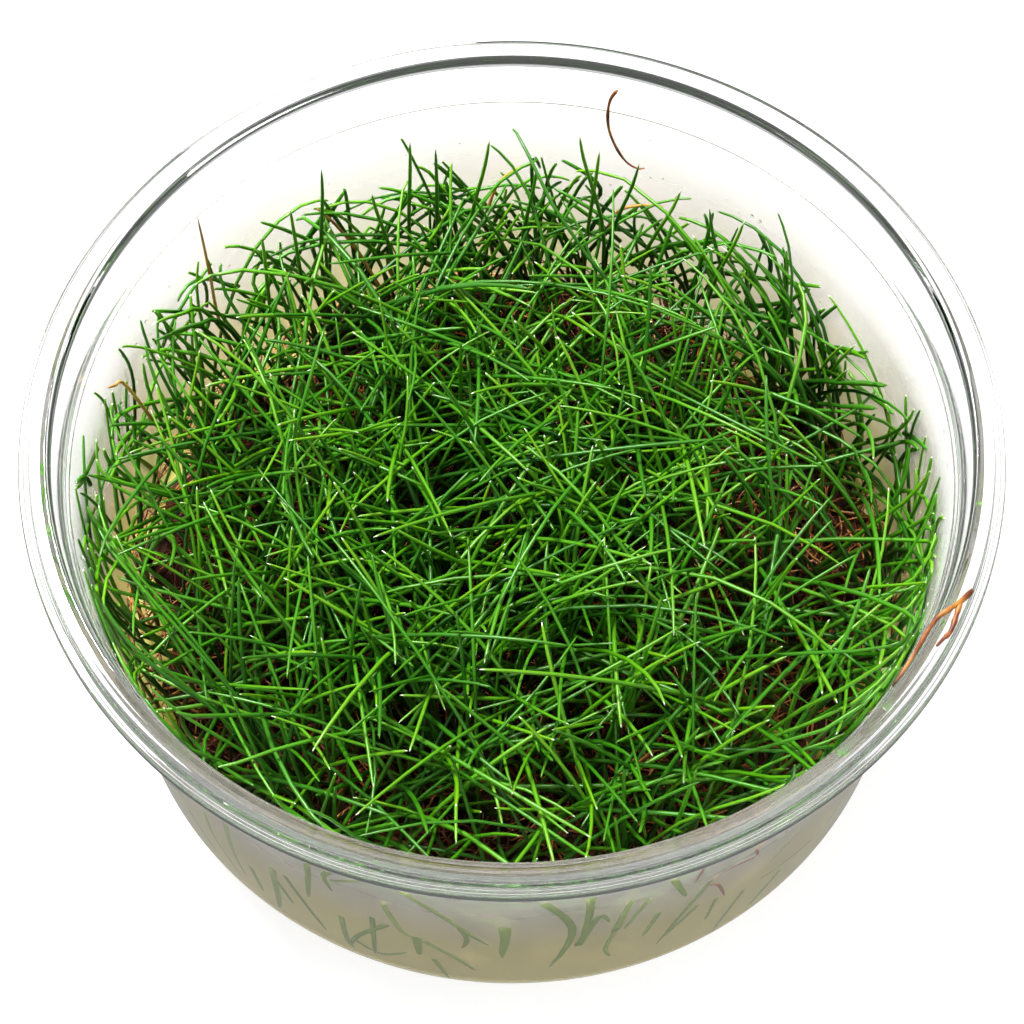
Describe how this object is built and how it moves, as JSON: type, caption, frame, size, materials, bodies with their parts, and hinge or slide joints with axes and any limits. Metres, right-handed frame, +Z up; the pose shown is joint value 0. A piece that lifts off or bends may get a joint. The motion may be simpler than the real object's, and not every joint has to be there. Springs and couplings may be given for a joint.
{
  "type": "aquarium plant in a culture cup",
  "caption": "Dwarf hairgrass: dense tufts of fine upright leaves on a root mat and pale jelly, in an open clear round plastic culture cup.",
  "frame": {"origin": "centre of the cup's flat foot", "axes": "+Z up out of the open cup, -Y towards the front, +X to the right"},
  "size_m": [0.1, 0.1, 0.046],
  "materials": {
    "clear_plastic": "clear, glossy rim, body misted with fine condensation inside",
    "culture_gel": "pale translucent jelly",
    "root_mat": "damp brown roots and runners",
    "grass": "fresh green leaf, satin, paler at the tip",
    "dry_root": "dead brown root"
  },
  "bodies": {
    "root": {"culture_gel": "culture_gel", "cup": "clear_plastic", "rim_root": "dry_root", "root_mat": "root_mat", "tuft_centre": "grass", "tuft_inner_01": "grass", "tuft_inner_02": "grass", "tuft_inner_03": "grass", "tuft_inner_04": "grass", "tuft_inner_05": "grass", "tuft_inner_06": "grass", "tuft_middle_01": "grass", "tuft_middle_02": "grass", "tuft_middle_03": "grass", "tuft_middle_04": "grass", "tuft_middle_05": "grass", "tuft_middle_06": "grass", "tuft_middle_07": "grass", "tuft_middle_08": "grass", "tuft_middle_09": "grass", "tuft_middle_10": "grass", "tuft_middle_11": "grass", "tuft_middle_12": "grass", "tuft_outer_01": "grass", "tuft_outer_02": "grass", "tuft_outer_03": "grass", "tuft_outer_04": "grass", "tuft_outer_05": "grass", "tuft_outer_06": "grass", "tuft_outer_07": "grass", "tuft_outer_08": "grass", "tuft_outer_09": "grass", "tuft_outer_10": "grass", "tuft_outer_11": "grass", "tuft_outer_12": "grass", "tuft_outer_13": "grass", "tuft_outer_14": "grass", "tuft_outer_15": "grass", "tuft_outer_16": "grass", "tuft_outer_17": "grass", "tuft_outer_18": "grass", "wall_root": "dry_root"}
  },
  "joints": []
}
